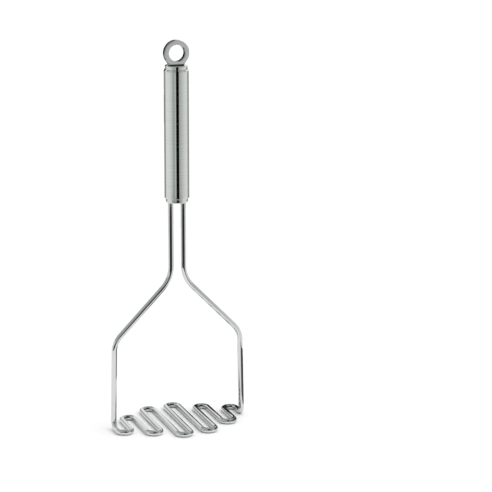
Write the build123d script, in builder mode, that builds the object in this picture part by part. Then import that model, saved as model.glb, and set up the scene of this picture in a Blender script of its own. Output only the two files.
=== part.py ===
"""Wire potato masher: one bent steel rod under a tubular steel handle with a hanging eye.

Millimetres, +Z up along the handle. The origin is on the resting plane, under the handle's axis.
X runs from leg to leg, and the front is -Y.
"""

import os
from math import pi

from build123d import *

os.makedirs("parts", exist_ok=True)

# ---- Rod ------------------------------------------------------------------------------------
wire_d = 4.0
wire_r = wire_d / 2
tine_pitch = 9.93
# How far the middle of the rod reaches from the plane of the legs at each front bend, left to
# right. The head is unchanged by half a turn, so the back bends are the same list reversed.
front_reach = [16.0, 24.5, 34.6, 31.3, 16.7]
back_reach = front_reach[::-1]
leg_x = 5 * tine_pitch
knee_x, knee_z = 48.4, 65.7
neck_z = 110.2
shank_x = 4.8
neck_bend_r = 23.0
knee_bend_r = 16.5
foot_bend_r = 5.0
tine_bend_r = tine_pitch / 2

# ---- Handle ---------------------------------------------------------------------------------
tube_d = 18.0
tube_wall = 0.8
tube_bottom_z, tube_top_z = 170.6, 264.6
top_bevel_run, top_bevel_rise = 0.7, 1.2
bottom_edge_r = 0.4
tube_r = tube_d / 2
bore_r = tube_r - tube_wall

# ---- End caps -------------------------------------------------------------------------------
plug_length = 12.0
cap_r = 8.1
lower_cap_drop, lower_cap_edge_r = 3.1, 0.7
upper_cap_rise, upper_cap_edge_r = 2.6, 0.4
cup_r, cup_floor = 6.4, 4.0
lower_face_z = tube_bottom_z - lower_cap_drop
lower_plug_top_z = tube_bottom_z + plug_length
upper_face_z = tube_top_z + upper_cap_rise

# ---- Welds ----------------------------------------------------------------------------------
rod_end_proud = 4.0
shank_weld_r, shank_weld_rise = 3.2, 1.4
ring_weld_length, ring_weld_width, ring_weld_rise = 11.9, 3.9, 0.5

# ---- Hanging eye ----------------------------------------------------------------------------
eye_r = 9.3
eye_hole_r = 5.95
eye_thickness = 4.6
eye_foot_width = 12.2
eye_foot_drop = 8.2
eye_foot_land = 0.8
eye_edge_r = 0.5
eye_foot_z = upper_face_z + ring_weld_rise
eye_z = eye_foot_z + eye_foot_drop

rod_end_z = lower_plug_top_z + rod_end_proud


# ---- One continuous rod: shank, arm, leg, wave, leg, arm, shank ------------------------------
left_side = [
    (-shank_x, 0, rod_end_z),
    (-shank_x, 0, neck_z),
    (-knee_x, 0, knee_z),
    (-leg_x, 0, wire_r),
    (-leg_x, tine_bend_r - front_reach[0], wire_r),
]
left_bends = [neck_bend_r, knee_bend_r, foot_bend_r]
right_side = [(-x, -y, z) for x, y, z in reversed(left_side)]

# Each bend of the wave as the side it lies on (-1 front, 1 back) and its reach.
wave = []
for front, back in zip(front_reach, back_reach):
    wave += [(-1, front), (1, back)]

with BuildLine() as rod_line:
    FilletPolyline(*left_side, radius=left_bends)
    tine_end = left_side[-1]
    for index, (side, reach) in enumerate(wave):
        x = index * tine_pitch - leg_x
        y = side * (reach - tine_bend_r)
        if index:
            Line(tine_end, (x, y, wire_r))
        tine_end = (x + tine_pitch, y, wire_r)
        ThreePointArc((x, y, wire_r), (x + tine_bend_r, side * reach, wire_r), tine_end)
    FilletPolyline(*right_side, radius=left_bends[::-1])

with BuildPart() as masher_wire:
    with BuildSketch(Plane(left_side[0], z_dir=(0, 0, -1))):
        Circle(wire_r)
    sweep(path=rod_line.wire())

# ---- Handle tube: bevelled mouth at the top, slightly rounded mouth at the bottom ------------
with BuildPart() as handle_tube:
    with BuildSketch(Plane.XZ):
        with BuildLine():
            Polyline(
                (bore_r, tube_bottom_z),
                (tube_r, tube_bottom_z),
                (tube_r, tube_top_z - top_bevel_rise),
                (tube_r - top_bevel_run, tube_top_z),
                (bore_r, tube_top_z),
                close=True,
            )
        make_face()
    revolve(axis=Axis.Z)
    rims = handle_tube.edges().filter_by(GeomType.CIRCLE).filter_by(lambda rim: rim.radius > bore_r)
    fillet(rims.sort_by(Axis.Z)[0], bottom_edge_r)

# ---- Lower end cap: a plug with a rounded foot, drilled for the two shanks -------------------
with BuildPart() as lower_end_cap:
    with BuildSketch(Plane.XZ):
        with BuildLine():
            Polyline(
                (0, lower_face_z),
                (cap_r, lower_face_z),
                (cap_r, tube_bottom_z),
                (bore_r, tube_bottom_z),
                (bore_r, lower_plug_top_z),
                (0, lower_plug_top_z),
                close=True,
            )
        make_face()
    revolve(axis=Axis.Z)
    fillet(lower_end_cap.edges().filter_by(GeomType.CIRCLE).sort_by(Axis.Z)[0], lower_cap_edge_r)
    with BuildSketch(Plane.XY.offset(lower_face_z)):
        with Locations((-shank_x, 0), (shank_x, 0)):
            Circle(wire_r)
    extrude(amount=lower_plug_top_z - lower_face_z, mode=Mode.SUBTRACT)

# ---- Upper end cap: a cup pressed into the tube, closed at the top ---------------------------
with BuildPart() as upper_end_cap:
    with BuildSketch(Plane.XZ):
        with BuildLine():
            Polyline(
                (0, upper_face_z),
                (cap_r, upper_face_z),
                (cap_r, tube_top_z),
                (bore_r, tube_top_z),
                (bore_r, tube_top_z - plug_length),
                (cup_r, tube_top_z - plug_length),
                (cup_r, upper_face_z - cup_floor),
                (0, upper_face_z - cup_floor),
                close=True,
            )
        make_face()
    revolve(axis=Axis.Z)
    fillet(upper_end_cap.edges().filter_by(GeomType.CIRCLE).sort_by(Axis.Z)[-1], upper_cap_edge_r)

# ---- Hanging eye: a thick flat ring whose flanks run down to a flat foot ---------------------
with BuildPart() as hanging_ring:
    with BuildSketch(Plane.XZ.offset(-eye_thickness / 2)):
        with Locations((0, eye_z)):
            Circle(eye_r)
        with Locations((0, eye_foot_z)):
            Rectangle(eye_foot_width, eye_foot_land, align=(Align.CENTER, Align.MIN))
        make_hull()
        with Locations((0, eye_foot_z)):
            Rectangle(2 * eye_r, eye_r, align=(Align.CENTER, Align.MAX), mode=Mode.SUBTRACT)
        with Locations((0, eye_z)):
            Circle(eye_hole_r, mode=Mode.SUBTRACT)
    extrude(amount=eye_thickness)
    fillet(hanging_ring.faces().filter_by(Axis.Y).edges(), eye_edge_r)

# ---- Weld under the eye's foot, set back a little from the foot all round -----------------------
with BuildPart() as ring_weld:
    with BuildSketch(Plane.XY.offset(upper_face_z)):
        SlotOverall(ring_weld_length, ring_weld_width)
    extrude(amount=ring_weld_rise)

# ---- Welds that hold the rod's two ends, inside the handle on the lower plug -----------------
with BuildPart() as shank_welds:
    with BuildSketch(Plane.XZ):
        with BuildLine():
            Polyline(
                (shank_x + wire_r, lower_plug_top_z),
                (shank_x + shank_weld_r, lower_plug_top_z),
                (shank_x + wire_r, lower_plug_top_z + shank_weld_rise),
                close=True,
            )
        make_face()
    revolve(axis=Axis((shank_x, 0, 0), (0, 0, 1)))
    mirror(about=Plane.YZ)

pieces = {
    "masher_wire": masher_wire,
    "handle_tube": handle_tube,
    "lower_end_cap": lower_end_cap,
    "upper_end_cap": upper_end_cap,
    "hanging_ring": hanging_ring,
    "ring_weld": ring_weld,
    "shank_welds": shank_welds,
}
for name, piece in pieces.items():
    piece.part.label = name
    export_step(piece.part, f"parts/{name}.step")

rod_length = rod_line.wire().length
print("rod length", round(rod_length, 1))
print("rod volume over section times length", masher_wire.part.volume / (pi * wire_r**2 * rod_length))
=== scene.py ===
"""The finished look of a wire potato masher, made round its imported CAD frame.

Metres, +Z up along the handle, +X from leg to leg, -Y the front. Each piece takes its place and
its main sizes from the CAD node that it stands for.
"""

from math import acos, atan2, ceil, cos, pi, radians, sin, tan

import bmesh
import bpy
from bpy.props import (
    FloatProperty,
    FloatVectorProperty,
    IntProperty,
    PointerProperty,
)
from mathutils import Matrix, Vector


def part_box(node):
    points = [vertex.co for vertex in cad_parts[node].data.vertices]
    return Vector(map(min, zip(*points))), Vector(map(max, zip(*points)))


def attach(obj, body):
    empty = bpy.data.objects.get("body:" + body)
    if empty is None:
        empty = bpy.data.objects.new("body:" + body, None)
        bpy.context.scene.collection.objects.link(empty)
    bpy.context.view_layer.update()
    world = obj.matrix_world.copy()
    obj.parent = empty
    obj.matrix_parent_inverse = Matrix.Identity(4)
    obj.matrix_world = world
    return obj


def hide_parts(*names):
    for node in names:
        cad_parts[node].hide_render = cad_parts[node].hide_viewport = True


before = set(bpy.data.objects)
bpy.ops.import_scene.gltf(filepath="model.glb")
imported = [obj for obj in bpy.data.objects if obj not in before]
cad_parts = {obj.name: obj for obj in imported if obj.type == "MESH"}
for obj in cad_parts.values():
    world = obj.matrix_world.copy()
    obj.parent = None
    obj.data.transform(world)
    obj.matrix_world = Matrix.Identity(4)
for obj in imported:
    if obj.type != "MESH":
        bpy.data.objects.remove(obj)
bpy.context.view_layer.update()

bl_info = {
    "name": "Wire Potato Masher",
    "version": (1, 0, 0),
    "blender": (4, 5, 0),
    "location": "3D View > Sidebar > Masher",
    "description": "Builds a wire potato masher with a tubular handle, and a soft white studio round it",
    "category": "Add Mesh",
}

MM = 0.001
BODY = "root"
_, ROD_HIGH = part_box("masher_wire")
TUBE_LOW, TUBE_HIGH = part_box("handle_tube")
LOWER_CAP_LOW, LOWER_CAP_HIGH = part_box("lower_end_cap")
UPPER_CAP_LOW, UPPER_CAP_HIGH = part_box("upper_end_cap")
EYE_LOW, EYE_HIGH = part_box("hanging_ring")
EYE_WELD_LOW, EYE_WELD_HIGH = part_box("ring_weld")

# Turns of the wave between the two legs, and how finely round shapes are divided.
TINE_SPACES = 10
ROUND_SIDES = 128
DRILL_SIDES = 48
CORNER_STEPS = 6
EYE_ARC_STEP = radians(2.5)
EYE_FOOT_SPACING = 0.5 * MM
CARD_STEP = 3
# A row of points this far from a rounded edge keeps the flat beside it flat when shaded smooth.
HOLD = 0.12 * MM
EYE_HOLD = 0.02 * MM
# Doubles closer than this are merged, and edges that turn more than these angles are shaded sharp.
MERGE_DISTANCE = 0.0005 * MM
SHARP_ANGLE = radians(35)
ROD_SHARP_ANGLE = radians(60)

# Edges that are only just broken, the outer edge of the tube's bevel, and the mouths of the drilled
# holes, which open out by this much.
BROKEN_EDGE = 0.04 * MM
BEVEL_EDGE = 0.5 * MM
HOLE_LIP = 0.3 * MM
# No corner of the eye's foot is tighter than the inset of its rounded edge, which would fold there.
EYE_FLANK_CORNER = 0.65 * MM
EYE_FOOT_CORNER = 0.53 * MM
# The weld bead: points round it, ripples round it, rows up it, and the steady and rippled swell.
BEAD_SIDES = 96
BEAD_RIPPLES = 17
BEAD_ROWS = 5
BEAD_STEADY, BEAD_RIPPLED = 0.6, 0.4

# Patterns in the steel, in cycles per metre along each axis.
DRAWN_GRAIN = (2600.0, 2600.0, 35.0)
TURNED_GRAIN = (45.0, 45.0, 3000.0)
SATIN_GRAIN = (900.0, 900.0, 900.0)
SMUDGES = (55.0, 55.0, 38.0)
SCRATCHES = (90.0, 2600.0, 90.0)
WELD_RIPPLES = (2400.0, 600.0, 600.0)
WELD_GRIT = (5200.0, 5200.0, 5200.0)
# The part of each pattern's range that is stretched from nothing to full.
GRAIN_SPAN = (0.75, 1.25)
SMUDGE_SPAN = (0.42, 0.68)
SCRATCH_SPAN = (0.70, 0.78)
# How the grain changes the steel's tone and polish, and what smudges and scratches add to it.
GRAIN_DARK, GRAIN_LIGHT = 0.93, 1.03
SMOOTHEST, ROUGHEST = 0.82, 1.18
COARSE_GRAIN = 0.3
SMUDGE_HAZE = 0.28
SCRATCH_HAZE = 0.12
SCRATCH_DEPTH = 0.8
GRAIN_HEIGHT = 0.004 * MM
DRAWN_DEPTH, TURNED_DEPTH, SATIN_DEPTH = 0.12, 0.16, 0.5
# The turn and the offset of each set of scratches.
SCRATCH_SETS = (((0.3, 0.5, 0.2), (0.0, 0.0, 0.0)), ((1.1, -0.4, 0.9), (7.0, 3.0, 5.0)))
# Painted shade: the colour of the eye's cut walls is darkened, standing in for the dark reflections they
# show. It is darkened fully up to the first depth below its ground faces, and not at all by the second.
PAINTED_SHADE_DEPTH, CLEAR_DEPTH = 0.45 * MM, 0.1 * MM
# Weld metal: how dark it burns, how much of its relief is grit, its height, and its polish.
BURNT_SHARE = 0.45
BURNT_SPAN = (0.35, 0.65)
GRIT_SHARE = 0.4
WELD_HEIGHT = 0.05 * MM
WELD_POLISH_SPAN = (0.3, 0.7)
WELD_SMOOTHEST, WELD_ROUGHEST = 0.42, 0.62


# ---- Settings -------------------------------------------------------------------------------
def length(name, description, default):
    """A length in metres, shown in the scene's unit."""
    return FloatProperty(
        name=name, description=description, default=default, unit="LENGTH", precision=5
    )


def amount(name, description, default):
    """A plain number."""
    return FloatProperty(name=name, description=description, default=default)


def angle(name, description, degrees):
    """An angle, given in degrees."""
    return FloatProperty(
        name=name, description=description, default=radians(degrees), subtype="ANGLE"
    )


def steel_colour(name, description, default):
    """A colour of bare steel."""
    return FloatVectorProperty(
        name=name, description=description, default=default, size=3, subtype="COLOR", min=0.0, max=1.0
    )


class MasherRodSettings(bpy.types.PropertyGroup):
    """The one bent rod."""

    diameter: length("Rod Diameter", "Thickness of the round rod", 4.0 * MM)
    shank_offset: length("Shank Offset", "From the handle's axis to the middle of a shank", 4.8 * MM)
    neck_height: length("Neck Height", "Where the shanks turn out into the arms", 110.2 * MM)
    knee_offset: length("Knee Offset", "From the handle's axis to the corner of arm and leg", 48.4 * MM)
    knee_height: length("Knee Height", "Where the arms turn down into the legs", 65.7 * MM)
    neck_bend: length("Neck Bend", "Bend radius between shank and arm", 23.0 * MM)
    knee_bend: length("Knee Bend", "Bend radius between arm and leg", 16.5 * MM)
    foot_bend: length("Foot Bend", "Bend radius between leg and wave", 5.0 * MM)
    reaches: FloatVectorProperty(
        name="Front Reaches",
        description="How far each front bend reaches from the plane of the legs, left to right",
        default=(16.0 * MM, 24.5 * MM, 34.6 * MM, 31.3 * MM, 16.7 * MM),
        size=5,
        unit="LENGTH",
        precision=5,
    )
    bend_steps: IntProperty(name="Bend Steps", description="Segments in each corner", default=14, min=3)
    sides: IntProperty(name="Sides", description="Faces round the rod", default=40, min=8)


class MasherHandleSettings(bpy.types.PropertyGroup):
    """The tube and the two end caps."""

    wall: length("Tube Wall", "Thickness of the tube", 0.8 * MM)
    bevel_run: length("Top Bevel Width", "How far the upper mouth is drawn in", 0.7 * MM)
    bevel_rise: length("Top Bevel Height", "Height of the bevel at the upper mouth", 1.2 * MM)
    lower_edge: length("Lower Edge Radius", "Rounding of the tube's lower edge", 0.4 * MM)
    cap_radius: length("Cap Radius", "Radius of both caps where they show", 8.1 * MM)
    foot_edge: length("Lower Cap Edge", "Rounding of the lower cap's edge", 0.7 * MM)
    neck_edge: length("Upper Cap Edge", "Rounding of the upper cap's edge", 0.4 * MM)
    cup_radius: length("Upper Cap Cup", "Inside radius of the upper cap", 6.4 * MM)
    cup_floor: length("Upper Cap Top", "Thickness of the upper cap's top", 4.0 * MM)


class MasherEyeSettings(bpy.types.PropertyGroup):
    """The hanging eye and its weld."""

    hole_radius: length("Hole Radius", "Radius of the eye's hole", 5.95 * MM)
    foot_width: length("Foot Width", "Width of the flat foot", 12.2 * MM)
    foot_land: length("Foot Land", "Height of the foot's straight sides", 0.8 * MM)
    edge: length("Edge Radius", "Rounding of the eye's edges", 0.5 * MM)
    weld_ripple: length("Weld Ripple", "How much the weld bead swells between its ripples", 0.12 * MM)


class MasherSteelSettings(bpy.types.PropertyGroup):
    """Colours and polish of the steel."""

    rod_colour: steel_colour("Rod Steel", "Colour of the drawn rod", (0.66, 0.675, 0.67))
    rod_roughness: amount("Rod Roughness", "Polish of the rod", 0.07)
    tube_colour: steel_colour("Tube Steel", "Colour of the handle tube", (0.68, 0.70, 0.685))
    tube_roughness: amount("Tube Roughness", "Polish of the tube", 0.09)
    cap_colour: steel_colour("Cap Steel", "Colour of the end caps", (0.68, 0.70, 0.685))
    cap_roughness: amount("Cap Roughness", "Polish of the caps", 0.1)
    eye_colour: steel_colour("Eye Steel", "Colour of the hanging eye", (0.83, 0.83, 0.825))
    eye_roughness: amount("Eye Roughness", "Polish of the eye", 0.2)
    # Painted shade: this darkens the colour of the eye's cut walls, standing in for the dark reflections
    # they show.
    eye_wall_shade: amount("Eye Wall Shade", "How dull the eye's cut walls are", 0.3)
    weld_colour: steel_colour("Weld Steel", "Colour of weld metal", (0.16, 0.16, 0.155))


class MasherStageSettings(bpy.types.PropertyGroup):
    """Camera, floor and light."""

    aim_height: length("Aim Height", "Height on the handle's axis that the camera turns about", 0.14)
    azimuth: angle("Camera Azimuth", "How far the camera stands round from the front", -17.82)
    elevation: angle("Camera Elevation", "How far the camera looks down", 13.79)
    distance: length("Camera Distance", "From the aim to the camera", 1.5526)
    lens: amount("Lens", "Focal length on a 36 mm frame, in millimetres", 156.4)
    pan: angle("Pan", "Turn of the camera away from its aim, to the left", -1.9)
    tilt: angle("Tilt", "Turn of the camera away from its aim, upwards", -0.201)
    roll: angle("Roll", "Roll of the camera", 0.142)
    floor_size: length("Floor Size", "Width of the floor", 16.0)
    floor_colour: steel_colour("Floor", "Colour of the floor", (0.93, 0.93, 0.93))
    horizon: amount("Horizon", "Light from low down all round", 1.0)
    ceiling: amount("Ceiling", "Light from overhead", 0.48)
    ambient: amount("Ambient", "Even light on matt surfaces", 0.68)
    backdrop: amount("Backdrop", "Brightness behind the floor", 0.975)
    slot_card_foot: length("Wave Card Foot", "Lowest point of the dark card over the wave", 0.0045)
    slot_card_height: length("Wave Card Height", "Highest point of the dark card over the wave", 0.09)
    slot_card_glow: amount("Wave Card Glow", "Brightness of that card", 0.04)
    key_strength: amount("Key Light", "Strength of the soft key light", 1.6)
    key_spread: angle("Key Spread", "How wide the key light spreads, which softens shadows", 75.0)


SETTINGS = {
    "masher_rod": MasherRodSettings,
    "masher_handle": MasherHandleSettings,
    "masher_eye": MasherEyeSettings,
    "masher_steel": MasherSteelSettings,
    "masher_stage": MasherStageSettings,
}


# ---- Mesh helpers ---------------------------------------------------------------------------
def rounded(corners, radii, hold=HOLD):
    """The closed outline through corners, each rounded to its radius, or kept sharp where that is 0."""
    outline = []
    count = len(corners)
    for index, radius in enumerate(radii):
        corner = Vector(corners[index])
        back = (Vector(corners[index - 1]) - corner).normalized()
        on = (Vector(corners[(index + 1) % count]) - corner).normalized()
        if radius == 0:
            outline.append(corner)
            continue
        half_turn = (pi - back.angle(on)) / 2
        reach = radius * tan(half_turn)
        start = corner + back * reach
        centre = corner + (back + on).normalized() * (radius / cos(half_turn))
        sense = 1 if back.cross(on) < 0 else -1
        outline.append(start + back * hold)
        for step in range(CORNER_STEPS + 1):
            turn = Matrix.Rotation(sense * 2 * half_turn * step / CORNER_STEPS, 2)
            outline.append(centre + turn @ (start - centre))
        outline.append(corner + on * (reach + hold))
    return outline


def in_scene(name, data):
    """A new object in the scene that shows a mesh, a lamp or a camera."""
    item = bpy.data.objects.new(name, data)
    bpy.context.scene.collection.objects.link(item)
    return item


def new_piece(name, mesh, material, slot, *nodes):
    """Puts a finished mesh in the scene as a piece that stands for the named CAD nodes."""
    mesh.materials.clear()
    mesh.materials.append(material)
    piece = in_scene(name, mesh)
    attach(piece, BODY)
    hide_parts(*nodes)
    return piece


def closed_mesh(name, build):
    """A smooth mesh from build(bm), its doubles merged and its faces turned outwards."""
    bm = bmesh.new()
    build(bm)
    bmesh.ops.remove_doubles(bm, verts=bm.verts, dist=MERGE_DISTANCE)
    bmesh.ops.recalc_face_normals(bm, faces=bm.faces)
    mesh = bpy.data.meshes.new(name)
    bm.to_mesh(mesh)
    bm.free()
    mesh.shade_smooth()
    mesh.set_sharp_from_angle(angle=SHARP_ANGLE)
    return mesh


def lathe(name, profile, sides=ROUND_SIDES):
    """A closed mesh turned about the upright axis from a closed profile of (radius, z)."""

    def build(bm):
        rings = []
        for radius, z in profile:
            turns = (2 * pi * side / sides for side in range(sides))
            rings.append([bm.verts.new((radius * cos(t), radius * sin(t), z)) for t in turns])
        for index, ring in enumerate(rings):
            before = rings[index - 1]
            on_axis = profile[index][0] + profile[index - 1][0] < HOLD
            if on_axis:
                continue
            for side in range(sides):
                after = (side + 1) % sides
                bm.faces.new((before[side], before[after], ring[after], ring[side]))

    return closed_mesh(name, build)


def evaluated_mesh(source, name):
    """The plain mesh that an object's modifiers make. The object itself is removed."""
    bpy.context.view_layer.update()
    graph = bpy.context.evaluated_depsgraph_get()
    mesh = bpy.data.meshes.new_from_object(source.evaluated_get(graph), depsgraph=graph)
    mesh.name = name
    source.modifiers.clear()
    bpy.data.objects.remove(source)
    return mesh


# ---- Node helpers ---------------------------------------------------------------------------
def add(tree, kind, inputs=None, **options):
    """A node with its options set and its inputs given as values or as sockets to link."""
    node = tree.nodes.new(kind)
    for key, value in options.items():
        setattr(node, key, value)
    for key, value in (inputs or {}).items():
        if isinstance(value, bpy.types.NodeSocket):
            tree.links.new(value, node.inputs[key])
        else:
            node.inputs[key].default_value = value
    return node


def arithmetic(tree, operation, first, second=0.0):
    """One Math node."""
    return add(tree, "ShaderNodeMath", {0: first, 1: second}, operation=operation).outputs[0]


def remap(tree, value, low, high, to_low, to_high):
    """A value moved from one range to another, and held inside it."""
    inputs = {"Value": value, "From Min": low, "From Max": high, "To Min": to_low, "To Max": to_high}
    return add(tree, "ShaderNodeMapRange", inputs, clamp=True).outputs["Result"]


def stretched_noise(tree, vector, scale, detail=3.0):
    """Noise whose grain is finest along the axis of the largest scale, in cycles per metre."""
    placed = add(tree, "ShaderNodeMapping", {"Vector": vector, "Scale": scale})
    inputs = {"Vector": placed.outputs[0], "Scale": 1.0, "Detail": detail, "Roughness": 0.55}
    return add(tree, "ShaderNodeTexNoise", inputs).outputs["Fac"]


def scratches(tree, vector, turn, offset):
    """A few fine straight scratches that run across the piece's grain at a slant."""
    place = {"Vector": vector, "Location": offset, "Rotation": turn, "Scale": SCRATCHES}
    placed = add(tree, "ShaderNodeMapping", place)
    inputs = {"Vector": placed.outputs[0], "Scale": 1.0, "Detail": 1.0, "Roughness": 0.4}
    lines = add(tree, "ShaderNodeTexNoise", inputs).outputs["Fac"]
    return remap(tree, lines, *SCRATCH_SPAN, 0.0, 1.0)


# ---- Materials ------------------------------------------------------------------------------
def new_material(name):
    """A material with an empty node tree, and that tree."""
    material = bpy.data.materials.new(name)
    material.use_nodes = True
    material.node_tree.nodes.clear()
    return material, material.node_tree


def mixed_colour(tree, factor, first, second, **options):
    """A mix of two colours, each given as a value or as a socket."""
    inputs = {"Factor": factor, "A": first, "B": second}
    return add(tree, "ShaderNodeMix", inputs, data_type="RGBA", **options).outputs["Result"]


def metal(tree, colour, roughness, bump):
    """Bare metal on the material's surface."""
    inputs = {"Base Color": colour, "Metallic": 1.0, "Roughness": roughness, "Normal": bump}
    shader = add(tree, "ShaderNodeBsdfPrincipled", inputs)
    add(tree, "ShaderNodeOutputMaterial", {"Surface": shader.outputs["BSDF"]})


def steel(name, colour, roughness, grain, grain_depth, source=None):
    """Bare steel with a fine grain, faint smudges from handling and a few hairline scratches.

    grain is the grain's cycles per metre along each axis, and source is the mesh attribute that
    the pattern follows, or None for the piece's own space.
    """
    material, tree = new_material(name)
    if source:
        vector = add(tree, "ShaderNodeAttribute", attribute_name=source).outputs["Vector"]
    else:
        vector = add(tree, "ShaderNodeTexCoord").outputs["Object"]
    fine = stretched_noise(tree, vector, grain, detail=4.0)
    coarse = stretched_noise(tree, vector, [scale * COARSE_GRAIN for scale in grain], detail=2.0)
    smudge = stretched_noise(tree, vector, SMUDGES)
    first, second = (scratches(tree, vector, turn, offset) for turn, offset in SCRATCH_SETS)
    marks = arithmetic(tree, "MAXIMUM", first, second)

    lines = arithmetic(tree, "ADD", fine, coarse)
    tone = remap(tree, lines, *GRAIN_SPAN, 0.0, 1.0)
    dark = [channel * GRAIN_DARK for channel in colour]
    light = [min(channel * GRAIN_LIGHT, 1.0) for channel in colour]
    grained = mixed_colour(tree, tone, (*dark, 1.0), (*light, 1.0))
    film = remap(tree, smudge, *SMUDGE_SPAN, 0.0, 1.0)

    polish = remap(tree, lines, *GRAIN_SPAN, roughness * SMOOTHEST, roughness * ROUGHEST)
    haze = arithmetic(tree, "MULTIPLY", film, roughness * SMUDGE_HAZE)
    polish = arithmetic(tree, "ADD", polish, haze)
    dulled = arithmetic(tree, "MULTIPLY", marks, SCRATCH_HAZE)
    polish = arithmetic(tree, "ADD", polish, dulled)
    height = arithmetic(tree, "SUBTRACT", lines, arithmetic(tree, "MULTIPLY", marks, SCRATCH_DEPTH))
    relief = {"Height": height, "Strength": grain_depth, "Distance": GRAIN_HEIGHT}
    bump = add(tree, "ShaderNodeBump", relief)
    metal(tree, grained, polish, bump.outputs["Normal"])
    return material


def paint_shade_on_cut_walls(material, half, shade):
    """Paints shade on the cut walls between two ground faces that lie at half either side of Y = 0:
    their colour is darkened to stand in for the dark reflections they show.
    """
    tree = material.node_tree
    shader = next(node for node in tree.nodes if node.type == "BSDF_PRINCIPLED")
    ground = shader.inputs["Base Color"].links[0].from_socket
    place = add(tree, "ShaderNodeTexCoord").outputs["Object"]
    across = add(tree, "ShaderNodeSeparateXYZ", {0: place}).outputs["Y"]
    depth = arithmetic(tree, "ABSOLUTE", across)
    tone = remap(tree, depth, half - PAINTED_SHADE_DEPTH, half - CLEAR_DEPTH, shade, 1.0)
    shaded = mixed_colour(tree, 1.0, ground, tone, blend_type="MULTIPLY")
    tree.links.new(shaded, shader.inputs["Base Color"])


def weld_metal(name, colour):
    """Dull weld metal with ripples and a grainy, slightly burnt surface."""
    material, tree = new_material(name)
    vector = add(tree, "ShaderNodeTexCoord").outputs["Object"]
    ripple = stretched_noise(tree, vector, WELD_RIPPLES, detail=2.0)
    grit = stretched_noise(tree, vector, WELD_GRIT)
    burnt = [channel * BURNT_SHARE for channel in colour]
    clean = remap(tree, grit, *BURNT_SPAN, 0.0, 1.0)
    mixed = mixed_colour(tree, clean, (*burnt, 1.0), (*colour, 1.0))
    height = arithmetic(tree, "ADD", ripple, arithmetic(tree, "MULTIPLY", grit, GRIT_SHARE))
    bump = add(tree, "ShaderNodeBump", {"Height": height, "Strength": 0.5, "Distance": WELD_HEIGHT})
    polish = remap(tree, grit, *WELD_POLISH_SPAN, WELD_SMOOTHEST, WELD_ROUGHEST)
    metal(tree, mixed, polish, bump.outputs["Normal"])
    return material


# ---- Rod ------------------------------------------------------------------------------------
def rod_corners(rod):
    """The rod's corners from the left shank's end to the right one's, each with its bend radius."""
    radius = rod.diameter / 2
    leg_x = ROD_HIGH.x - radius
    pitch = 2 * leg_x / TINE_SPACES
    side = [
        ((-rod.shank_offset, 0, ROD_HIGH.z), 0.0),
        ((-rod.shank_offset, 0, rod.neck_height), rod.neck_bend),
        ((-rod.knee_offset, 0, rod.knee_height), rod.knee_bend),
        ((-leg_x, 0, radius), rod.foot_bend),
    ]
    wave = []
    back_reaches = list(rod.reaches)[::-1]
    for pair, reaches in enumerate(zip(rod.reaches, back_reaches)):
        for half, (sign, reach) in enumerate(zip((-1, 1), reaches)):
            x = (2 * pair + half) * pitch - leg_x
            wave.append(((x, sign * reach, radius), pitch / 2))
            wave.append(((x + pitch, sign * reach, radius), pitch / 2))
    other_side = [((-x, -y, z), bend) for (x, y, z), bend in reversed(side)]
    return side + wave + other_side


def stored(tree, geometry, name, kind, value):
    """The geometry with a value kept on its points under a name."""
    inputs = {"Geometry": geometry, "Name": name, "Value": value}
    node = add(tree, "GeometryNodeStoreNamedAttribute", inputs, data_type=kind, domain="POINT")
    return node.outputs[0]


def named(tree, name, kind):
    """The value kept on each point under a name."""
    node = add(tree, "GeometryNodeInputNamedAttribute", {"Name": name}, data_type=kind)
    return node.outputs["Attribute"]


def rod_tree(material):
    """Geometry nodes that bend a cornered line to its radii and give it a round section."""
    tree = bpy.data.node_groups.new("Bent Rod", "GeometryNodeTree")
    face = tree.interface
    face.new_socket("Corners", in_out="INPUT", socket_type="NodeSocketGeometry")
    for name, kind in (("Diameter", "Float"), ("Bend Steps", "Int"), ("Sides", "Int")):
        face.new_socket(name, in_out="INPUT", socket_type=f"NodeSocket{kind}")
    face.new_socket("Rod", in_out="OUTPUT", socket_type="NodeSocketGeometry")
    given = add(tree, "NodeGroupInput").outputs

    line = add(tree, "GeometryNodeMeshToCurve", {"Mesh": given["Corners"]})
    filleted = add(
        tree,
        "GeometryNodeFilletCurve",
        {
            "Curve": line.outputs["Curve"],
            "Count": given["Bend Steps"],
            "Radius": named(tree, "bend_radius", "FLOAT"),
            "Limit Radius": True,
        },
        mode="POLY",
    )
    # Where a point lies along the rod, and on its section, are kept for the drawn grain.
    distance = add(tree, "GeometryNodeSplineParameter").outputs["Length"]
    path = stored(tree, filleted.outputs[0], "along", "FLOAT", distance)

    radius = arithmetic(tree, "MULTIPLY", given["Diameter"], 0.5)
    ring = {"Resolution": given["Sides"], "Radius": radius}
    circle = add(tree, "GeometryNodeCurvePrimitiveCircle", ring)
    place = add(tree, "GeometryNodeInputPosition").outputs[0]
    section = stored(tree, circle.outputs["Curve"], "section", "FLOAT_VECTOR", place)

    sweep = {"Curve": path, "Profile Curve": section, "Fill Caps": True}
    swept = add(tree, "GeometryNodeCurveToMesh", sweep)
    split = add(tree, "ShaderNodeSeparateXYZ", {0: named(tree, "section", "FLOAT_VECTOR")}).outputs
    parts = {"X": split["X"], "Y": split["Y"], "Z": named(tree, "along", "FLOAT")}
    joined = add(tree, "ShaderNodeCombineXYZ", parts)
    drawn = stored(tree, swept.outputs[0], "drawn", "FLOAT_VECTOR", joined.outputs[0])

    smooth = add(tree, "GeometryNodeSetShadeSmooth", {"Geometry": drawn})
    whole = add(tree, "GeometryNodeRealizeInstances", {"Geometry": smooth.outputs[0]})
    coat = {"Geometry": whole.outputs[0], "Material": material}
    finished = add(tree, "GeometryNodeSetMaterial", coat)
    add(tree, "NodeGroupOutput", {"Rod": finished.outputs[0]})
    return tree


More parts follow.
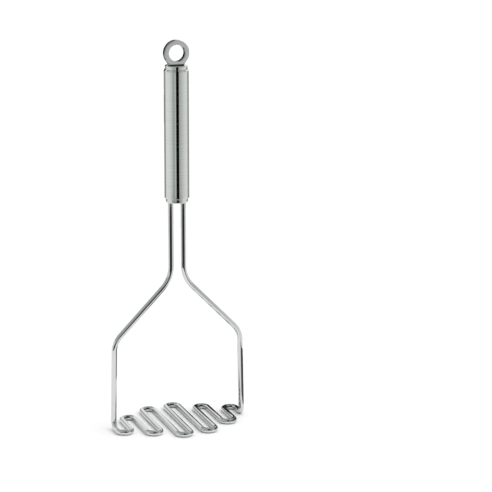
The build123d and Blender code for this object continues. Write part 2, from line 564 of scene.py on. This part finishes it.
def socket_names(tree):
    """Each named input of a geometry tree with the identifier that its modifier knows it by."""
    items = tree.interface.items_tree
    return {item.name: item.identifier for item in items if getattr(item, "in_out", "") == "INPUT"}


class MASHER_OT_rod(bpy.types.Operator):
    """Make the one bent rod: shanks, arms, legs and the wave"""

    bl_idname = "masher.rod"
    bl_label = "Bent Rod"

    def execute(self, context):
        rod, finish = context.scene.masher_rod, context.scene.masher_steel
        corners = rod_corners(rod)
        line = bpy.data.meshes.new("rod_line")
        edges = [(i, i + 1) for i in range(len(corners) - 1)]
        line.from_pydata([place for place, _ in corners], edges, [])
        bends = line.attributes.new("bend_radius", "FLOAT", "POINT")
        bends.data.foreach_set("value", [bend for _, bend in corners])
        source = in_scene("rod_line", line)

        colour, roughness = finish.rod_colour, finish.rod_roughness
        material = steel(
            "drawn_rod_steel", colour, roughness, DRAWN_GRAIN, DRAWN_DEPTH, source="drawn"
        )
        bent = source.modifiers.new("Bent Rod", "NODES")
        bent.node_group = rod_tree(material)
        names = socket_names(bent.node_group)
        bent[names["Diameter"]] = rod.diameter
        bent[names["Bend Steps"]] = rod.bend_steps
        bent[names["Sides"]] = rod.sides
        mesh = evaluated_mesh(source, "bent_rod")
        bpy.data.meshes.remove(line)
        if not mesh.polygons:
            raise RuntimeError("the rod's geometry nodes made no faces")
        mesh.set_sharp_from_angle(angle=ROD_SHARP_ANGLE)
        new_piece("bent_rod", mesh, material, "polished_wire", "masher_wire")
        return {"FINISHED"}


# ---- Handle tube ----------------------------------------------------------------------------
class MASHER_OT_handle_tube(bpy.types.Operator):
    """Make the handle's tube with its bevelled upper mouth and rounded lower edge"""

    bl_idname = "masher.handle_tube"
    bl_label = "Handle Tube"

    def execute(self, context):
        handle, finish = context.scene.masher_handle, context.scene.masher_steel
        outer = TUBE_HIGH.x
        inner = outer - handle.wall
        low, high = TUBE_LOW.z, TUBE_HIGH.z
        corners = [
            (inner, low),
            (outer, low),
            (outer, high - handle.bevel_rise),
            (outer - handle.bevel_run, high),
            (inner, high),
        ]
        radii = [BROKEN_EDGE, handle.lower_edge, BEVEL_EDGE, BROKEN_EDGE, BROKEN_EDGE]
        mesh = lathe("handle_sleeve", rounded(corners, radii))
        colour, roughness = finish.tube_colour, finish.tube_roughness
        material = steel("ground_tube_steel", colour, roughness, TURNED_GRAIN, TURNED_DEPTH)
        new_piece("handle_sleeve", mesh, material, "satin_tube", "handle_tube")
        return {"FINISHED"}


# ---- End caps -------------------------------------------------------------------------------
def drilled(mesh, name, offset, radius, low, high):
    """The mesh with two upright holes through it, slightly opened out at the bottom."""
    source = in_scene(name, mesh)
    mouth = low - HOLE_LIP
    end = high + HOLE_LIP
    flare = [(radius + 2 * HOLE_LIP, mouth), (radius, low + HOLE_LIP)]
    profile = [(0, mouth), *flare, (radius, end), (0, end)]
    drills = []
    for side in (-1, 1):
        drill = in_scene("drill", lathe("drill", profile, sides=DRILL_SIDES))
        drill.location.x = side * offset
        # Half a side's turn keeps the drill's corners off the edges of the plug.
        drill.rotation_euler.z = pi / DRILL_SIDES
        cut = source.modifiers.new("Hole", "BOOLEAN")
        cut.operation = "DIFFERENCE"
        cut.solver = "EXACT"
        cut.object = drill
        drills.append(drill)
    result = evaluated_mesh(source, name)
    for drill in drills:
        bpy.data.objects.remove(drill)
    result.set_sharp_from_angle(angle=SHARP_ANGLE)
    return result


class MASHER_OT_end_caps(bpy.types.Operator):
    """Make the two caps pressed into the ends of the tube"""

    bl_idname = "masher.end_caps"
    bl_label = "End Caps"

    def execute(self, context):
        handle, finish = context.scene.masher_handle, context.scene.masher_steel
        rod = context.scene.masher_rod
        colour, roughness = finish.cap_colour, finish.cap_roughness
        material = steel("turned_cap_steel", colour, roughness, TURNED_GRAIN, TURNED_DEPTH)
        bore = TUBE_HIGH.x - handle.wall

        low, high = LOWER_CAP_LOW.z, LOWER_CAP_HIGH.z
        corners = [
            (0, low),
            (handle.cap_radius, low),
            (handle.cap_radius, TUBE_LOW.z),
            (bore, TUBE_LOW.z),
            (bore, high),
            (0, high),
        ]
        radii = [0, handle.foot_edge, 0, 0, BROKEN_EDGE, 0]
        blank = lathe("lower_plug_blank", rounded(corners, radii))
        lower = drilled(blank, "lower_plug", rod.shank_offset, rod.diameter / 2, low, high)
        new_piece("lower_plug", lower, material, "turned_cap", "lower_end_cap")

        low, high = UPPER_CAP_LOW.z, UPPER_CAP_HIGH.z
        corners = [
            (0, high),
            (handle.cap_radius, high),
            (handle.cap_radius, TUBE_HIGH.z),
            (bore, TUBE_HIGH.z),
            (bore, low),
            (handle.cup_radius, low),
            (handle.cup_radius, high - handle.cup_floor),
            (0, high - handle.cup_floor),
        ]
        radii = [0, handle.neck_edge, 0, 0, BROKEN_EDGE, BROKEN_EDGE, BROKEN_EDGE, 0]
        upper = lathe("upper_plug", rounded(corners, radii))
        new_piece("upper_plug", upper, material, "turned_cap", "upper_end_cap")
        return {"FINISHED"}


# ---- Hanging eye ----------------------------------------------------------------------------
def eye_outline(radius, foot_drop, foot_width, foot_land):
    """The eye's outer edge about its centre: most of a circle, straight flanks and a flat foot."""
    corner = Vector((foot_width / 2, foot_land - foot_drop))
    tangent = atan2(corner.y, corner.x) + acos(radius / corner.length)
    sweep = pi - 2 * tangent
    steps = ceil(sweep / EYE_ARC_STEP)
    turns = [tangent + sweep * step / steps for step in range(steps + 1)]
    arc = [Vector((radius * cos(turn), radius * sin(turn))) for turn in turns]
    left = [(-corner.x, corner.y), (-corner.x, -foot_drop)]
    right = [(corner.x, -foot_drop), (corner.x, corner.y)]
    radii = [0, EYE_FLANK_CORNER, EYE_FOOT_CORNER, EYE_FOOT_CORNER, EYE_FLANK_CORNER, 0]
    foot = rounded([arc[-1], *left, *right, arc[0]], radii, hold=EYE_HOLD)
    return arc + divided(foot[1:-1], EYE_FOOT_SPACING)


def divided(points, spacing):
    """An open line with points added so that none is much further than spacing from the next."""
    line = [points[0]]
    for point in points[1:]:
        parts = max(1, round((point - line[-1]).length / spacing))
        start = line[-1]
        line += [start.lerp(point, part / parts) for part in range(1, parts + 1)]
    return line


def eye_section(half, edge):
    """The eye's section as (0 on the rim or 1 on the hole, inset from that edge, depth)."""
    quarter = [step / CORNER_STEPS * pi / 2 for step in range(CORNER_STEPS + 1)]
    rim = [(edge * (1 - cos(turn)), half - edge + edge * sin(turn)) for turn in quarter]
    rim = [(0.0, half - edge - EYE_HOLD), *rim, (edge + EYE_HOLD, half)]
    front = [(0, inset, depth) for inset, depth in rim]
    front += [(1, inset, depth) for inset, depth in reversed(rim)]
    back = [(side, inset, -depth) for side, inset, depth in reversed(front)]
    return front + back


class MASHER_OT_hanging_eye(bpy.types.Operator):
    """Make the thick flat eye that the masher hangs by"""

    bl_idname = "masher.hanging_eye"
    bl_label = "Hanging Eye"

    def execute(self, context):
        eye, finish = context.scene.masher_eye, context.scene.masher_steel
        radius = EYE_HIGH.x
        centre = Vector((0.0, EYE_HIGH.z - radius))
        outline = eye_outline(radius, centre.y - EYE_LOW.z, eye.foot_width, eye.foot_land)
        section = eye_section(EYE_HIGH.y, eye.edge)

        def build(bm):
            rows = []
            for index, point in enumerate(outline):
                along = outline[(index + 1) % len(outline)] - outline[index - 1]
                outward = Vector((along.y, -along.x)).normalized()
                spoke = point.normalized()
                row = []
                for side, inset, depth in section:
                    if side:
                        flat = spoke * (eye.hole_radius + inset)
                    else:
                        flat = point - outward * inset
                    flat += centre
                    row.append(bm.verts.new((flat.x, depth, flat.y)))
                rows.append(row)
            for index, row in enumerate(rows):
                before = rows[index - 1]
                for place in range(len(section)):
                    last = place - 1
                    bm.faces.new((before[last], before[place], row[place], row[last]))

        mesh = closed_mesh("eye", build)
        colour, roughness = finish.eye_colour, finish.eye_roughness
        material = steel("satin_eye_steel", colour, roughness, SATIN_GRAIN, SATIN_DEPTH)
        # The cut walls get painted shade: their colour is darkened where they show dark reflections.
        paint_shade_on_cut_walls(material, EYE_HIGH.y, finish.eye_wall_shade)
        new_piece("eye", mesh, material, "satin_ring", "hanging_ring")
        return {"FINISHED"}


# ---- Welds ----------------------------------------------------------------------------------
def bead(name, box_low, box_high, ripple):
    """A low weld bead with rounded ends that swells between its ripples and fills its box."""
    half_width = box_high.y - ripple
    straight = box_high.x - box_high.y

    def build(bm):
        rings = []
        for row in range(BEAD_ROWS):
            share = row / (BEAD_ROWS - 1)
            z = box_low.z + (box_high.z - box_low.z) * share
            belly = sin(pi * share)
            ring = []
            for side in range(BEAD_SIDES):
                turn = 2 * pi * side / BEAD_SIDES
                swell = ripple * belly * (BEAD_STEADY + BEAD_RIPPLED * sin(BEAD_RIPPLES * turn))
                x = (half_width + swell) * cos(turn) + (straight if cos(turn) > 0 else -straight)
                ring.append(bm.verts.new((x, (half_width + swell) * sin(turn), z)))
            rings.append(ring)
        for below, above in zip(rings, rings[1:]):
            for side in range(BEAD_SIDES):
                after = (side + 1) % BEAD_SIDES
                bm.faces.new((below[side], below[after], above[after], above[side]))
        bm.faces.new(rings[0])
        bm.faces.new(rings[-1])

    return closed_mesh(name, build)


class MASHER_OT_welds(bpy.types.Operator):
    """Make the weld under the eye, and give the hidden rod welds their metal"""

    bl_idname = "masher.welds"
    bl_label = "Welds"

    def execute(self, context):
        eye, finish = context.scene.masher_eye, context.scene.masher_steel
        material = weld_metal("weld_steel", finish.weld_colour)
        mesh = bead("eye_weld", EYE_WELD_LOW, EYE_WELD_HIGH, eye.weld_ripple)
        new_piece("eye_weld", mesh, material, "weld_metal", "ring_weld")
        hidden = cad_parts["shank_welds"]
        hidden.data.materials.clear()
        hidden.data.materials.append(material)
        return {"FINISHED"}


# ---- Stage ----------------------------------------------------------------------------------
# Brightness that cards show at each angle, in degrees to the right of the camera: what the handle
# reflects, then what the eye and the upper cap do, then what the shanks do.
HANDLE_GLOW = (
    (-135, 0.95), (-100, 0.95), (-82, 0.93), (-67, 0.89), (-52, 0.82), (-39, 0.65), (-27, 0.47),
    (-19, 0.46), (-14, 0.64), (-7, 0.68), (-4, 0.4), (-1.5, 0.0), (21.5, 0.0), (25, 0.55), (38, 0.58),
    (52, 0.68), (67, 0.8), (83, 0.87), (100, 0.93), (130, 0.93),
)
FRONT_GLOW = (
    (-110, 0.6), (-70, 0.5), (-40, 0.45), (-20, 0.42), (-9, 0.4), (-4, 0.0), (24, 0.0), (30, 0.3),
    (50, 0.4), (80, 0.45), (110, 0.6),
)
SHANK_GLOW = (
    (-135, 1.0), (-64, 0.95), (-52, 0.4), (-45, 0.05), (40, 0.02), (48, 0.35), (62, 0.9), (130, 1.0),
)
# The card high in front repeats the handle's, dimmed.
TOP_SHARE = 0.75
TOP_GLOW = tuple((turn, glow * TOP_SHARE) for turn, glow in HANDLE_GLOW)
# Card name: distance from the handle, lowest and highest point, and the brightness at each angle.
# Cards show only in reflections.
CARDS = {
    "handle_cards": (0.5, 0.0455, 0.225, HANDLE_GLOW),
    "front_wall": (0.5, 0.225, 0.62, FRONT_GLOW),
    "front_top": (0.5, 0.62, 0.95, TOP_GLOW),
    "edge_card_left": (0.2, 0.12, 0.2355, ((-170, 0.45), (-160, 0.38), (-122, 0.38), (-112, 0.9))),
    "edge_card_right": (0.2, 0.12, 0.2355, ((112, 0.9), (122, 0.38), (160, 0.38), (170, 0.45))),
    "eye_card": (0.2, 0.236, 0.37, ((-178, 0.02), (-128, 0.02))),
    "eye_low_card": (0.19, 0.19, 0.2125, ((-186, 0.02), (-150, 0.02))),
    "shank_cards": (0.35, 0.0, 0.0885, SHANK_GLOW),
    "wave_card": (0.6, 0.0, 0.2, ((-165, 0.55), (-155, 0.45), (-110, 0.45), (-100, 0.7))),
    "low_card_right": (0.075, 0.0, 0.045, ((60, 0.3), (70, 0.1), (120, 0.1))),
    "low_card_behind": (0.075, 0.0, 0.037, ((120, 0.03), (175, 0.03), (184, 0.9))),
}
# Cards take the first tint where they are dim and the second where they are bright.
DIM_TINT = (0.93, 1.0, 0.965, 1.0)
BRIGHT_TINT = (1.0, 0.995, 0.985, 1.0)
TINT_SPAN = (0.4, 0.95)
# Reflections see the horizon's light below the first height and the ceiling's above the second.
CEILING_SPAN = (0.45, 0.8)
KEY_DIRECTION = Vector((-0.45, 0.2, -1.0))
FILM_WIDTH = 36.0


def only_in_reflections(piece):
    """Marks a card as part of the stage that nothing but a glossy reflection sees."""
    piece.visible_camera = False
    piece.visible_diffuse = False
    piece.visible_shadow = False
    piece.visible_transmission = False
    piece.visible_volume_scatter = False


def card(name, material, azimuth, distance, low, high, stops):
    """A curved card about the handle's axis that only reflections see."""
    columns = []
    for (start, glow), (end, next_glow) in zip(stops, stops[1:]):
        parts = max(1, round((end - start) / CARD_STEP))
        for part in range(parts):
            share = part / parts
            columns.append((start + (end - start) * share, glow + (next_glow - glow) * share))
    columns.append(stops[-1])
    places, glows = [], []
    for degrees, glow in columns:
        turn = azimuth + radians(degrees)
        for z in (low, high):
            places.append((distance * sin(turn), -distance * cos(turn), z))
            glows.append(glow)
    faces = [(2 * i, 2 * i + 2, 2 * i + 3, 2 * i + 1) for i in range(len(columns) - 1)]
    mesh = bpy.data.meshes.new(name)
    mesh.from_pydata(places, [], faces)
    mesh.attributes.new("glow", "FLOAT", "POINT").data.foreach_set("value", glows)
    mesh.materials.append(material)
    only_in_reflections(in_scene(name, mesh))


def slot_card(stage):
    """A dark card over the middle of the wave, seen only in reflections that come from behind it."""
    low, high = stage.slot_card_foot, stage.slot_card_height
    reach = ROD_HIGH.x
    mesh = bpy.data.meshes.new("slot_card")
    corners = [(reach, 0, low), (-reach, 0, low), (-reach, 0, high), (reach, 0, high)]
    mesh.from_pydata(corners, [], [(0, 1, 2, 3)])
    material, tree = new_material("slot_card_light")
    side = add(tree, "ShaderNodeNewGeometry").outputs["Backfacing"]
    dark = add(tree, "ShaderNodeEmission", {"Strength": stage.slot_card_glow})
    clear = add(tree, "ShaderNodeBsdfTransparent")
    both = add(tree, "ShaderNodeMixShader", {0: side, 1: dark.outputs[0], 2: clear.outputs[0]})
    add(tree, "ShaderNodeOutputMaterial", {"Surface": both.outputs[0]})
    mesh.materials.append(material)
    only_in_reflections(in_scene("slot_card", mesh))


def card_material():
    """Light of the strength that a card's own points carry."""
    material, tree = new_material("card_light")
    glow = add(tree, "ShaderNodeAttribute", attribute_name="glow").outputs["Fac"]
    bright = remap(tree, glow, *TINT_SPAN, 0.0, 1.0)
    tint = mixed_colour(tree, bright, DIM_TINT, BRIGHT_TINT)
    light = add(tree, "ShaderNodeEmission", {"Color": tint, "Strength": glow})
    add(tree, "ShaderNodeOutputMaterial", {"Surface": light.outputs[0]})
    material.cycles.emission_sampling = "NONE"
    return material


def studio_world(stage):
    """Light by kind of ray: reflections see it fall off upwards, the camera a plain backdrop."""
    world = bpy.data.worlds.new("studio")
    world.use_nodes = True
    tree = world.node_tree
    tree.nodes.clear()
    direction = add(tree, "ShaderNodeTexCoord").outputs["Generated"]
    height = add(tree, "ShaderNodeSeparateXYZ", {0: direction}).outputs["Z"]
    glow = remap(tree, height, *CEILING_SPAN, stage.horizon, stage.ceiling)
    rays = add(tree, "ShaderNodeLightPath").outputs
    reflected = {"Factor": rays["Is Glossy Ray"], "A": stage.ambient, "B": glow}
    lit = add(tree, "ShaderNodeMix", reflected).outputs["Result"]
    direct = {"Factor": rays["Is Camera Ray"], "A": lit, "B": stage.backdrop}
    seen = add(tree, "ShaderNodeMix", direct).outputs["Result"]
    light = add(tree, "ShaderNodeBackground", {"Color": (1, 1, 1, 1), "Strength": seen})
    add(tree, "ShaderNodeOutputWorld", {"Surface": light.outputs[0]})
    bpy.context.scene.world = world


def studio_floor(stage):
    """A plain pale matt floor."""
    half = stage.floor_size / 2
    corners = [(-half, -half, 0), (half, -half, 0), (half, half, 0), (-half, half, 0)]
    mesh = bpy.data.meshes.new("floor")
    mesh.from_pydata(corners, [], [(0, 1, 2, 3)])
    material = bpy.data.materials.new("floor_paper")
    material.use_nodes = True
    shader = material.node_tree.nodes["Principled BSDF"]
    shader.inputs["Base Color"].default_value = (*stage.floor_colour, 1.0)
    shader.inputs["Roughness"].default_value = 0.9
    shader.inputs["Specular IOR Level"].default_value = 0.1
    mesh.materials.append(material)
    in_scene("floor", mesh)


def key_light(stage):
    """A very broad, soft light from above and a little to the right, which reflections don't show."""
    lamp = bpy.data.lights.new("key_light", "SUN")
    lamp.energy = stage.key_strength
    lamp.angle = stage.key_spread
    light = in_scene("key_light", lamp)
    light.rotation_mode = "QUATERNION"
    light.rotation_quaternion = KEY_DIRECTION.to_track_quat("-Z", "Y")
    light.visible_glossy = False


def stage_camera(stage):
    """The camera, turned about a point on the handle's axis and then panned, tilted and rolled."""
    turn, rise = stage.azimuth, stage.elevation
    back = Vector((sin(turn) * cos(rise), -cos(turn) * cos(rise), sin(rise)))
    forward = Matrix.Rotation(stage.pan, 3, "Z") @ -back
    right = forward.cross(Vector((0, 0, 1))).normalized()
    up = right.cross(forward)
    forward = forward * cos(stage.tilt) + up * sin(stage.tilt)
    up = right.cross(forward)
    level_right = right
    right = level_right * cos(stage.roll) + up * sin(stage.roll)
    up = up * cos(stage.roll) - level_right * sin(stage.roll)
    data = bpy.data.cameras.new("camera")
    data.lens = stage.lens
    data.sensor_width = FILM_WIDTH
    camera = in_scene("camera", data)
    camera.rotation_mode = "QUATERNION"
    camera.rotation_quaternion = Matrix((right, up, -forward)).transposed().to_quaternion()
    camera.location = Vector((0, 0, stage.aim_height)) + back * stage.distance
    bpy.context.scene.camera = camera


class MASHER_OT_stage(bpy.types.Operator):
    """Make the floor, the soft studio light, the cards that the steel reflects, and the camera"""

    bl_idname = "masher.stage"
    bl_label = "Studio"

    def execute(self, context):
        stage = context.scene.masher_stage
        studio_world(stage)
        studio_floor(stage)
        key_light(stage)
        material = card_material()
        for name, (distance, low, high, stops) in CARDS.items():
            card(name, material, stage.azimuth, distance, low, high, stops)
        slot_card(stage)
        stage_camera(stage)
        context.scene.view_settings.view_transform = "Standard"
        return {"FINISHED"}


# ---- Panel and registration -----------------------------------------------------------------
PIECES = (
    MASHER_OT_rod,
    MASHER_OT_handle_tube,
    MASHER_OT_end_caps,
    MASHER_OT_hanging_eye,
    MASHER_OT_welds,
    MASHER_OT_stage,
)


class MASHER_PT_panel(bpy.types.Panel):
    """The masher's settings and the buttons that make its pieces"""

    bl_idname = "MASHER_PT_panel"
    bl_label = "Potato Masher"
    bl_space_type = "VIEW_3D"
    bl_region_type = "UI"
    bl_category = "Masher"

    def draw(self, context):
        for operator in PIECES:
            self.layout.operator(operator.bl_idname)
        for name in SETTINGS:
            group = getattr(context.scene, name)
            box = self.layout.box()
            for key in group.__annotations__:
                box.prop(group, key)


CLASSES = (*SETTINGS.values(), *PIECES, MASHER_PT_panel)


def register():
    """Adds the settings, operators and panel to Blender."""
    for item in CLASSES:
        bpy.utils.register_class(item)
    for name, group in SETTINGS.items():
        setattr(bpy.types.Scene, name, PointerProperty(type=group))


def unregister():
    """Takes them away again."""
    for name in SETTINGS:
        delattr(bpy.types.Scene, name)
    for item in reversed(CLASSES):
        bpy.utils.unregister_class(item)


def main():
    """Makes every piece and the studio."""
    register()
    bpy.ops.masher.rod()
    bpy.ops.masher.handle_tube()
    bpy.ops.masher.end_caps()
    bpy.ops.masher.hanging_eye()
    bpy.ops.masher.welds()
    bpy.ops.masher.stage()


if __name__ == "__main__":
    main()
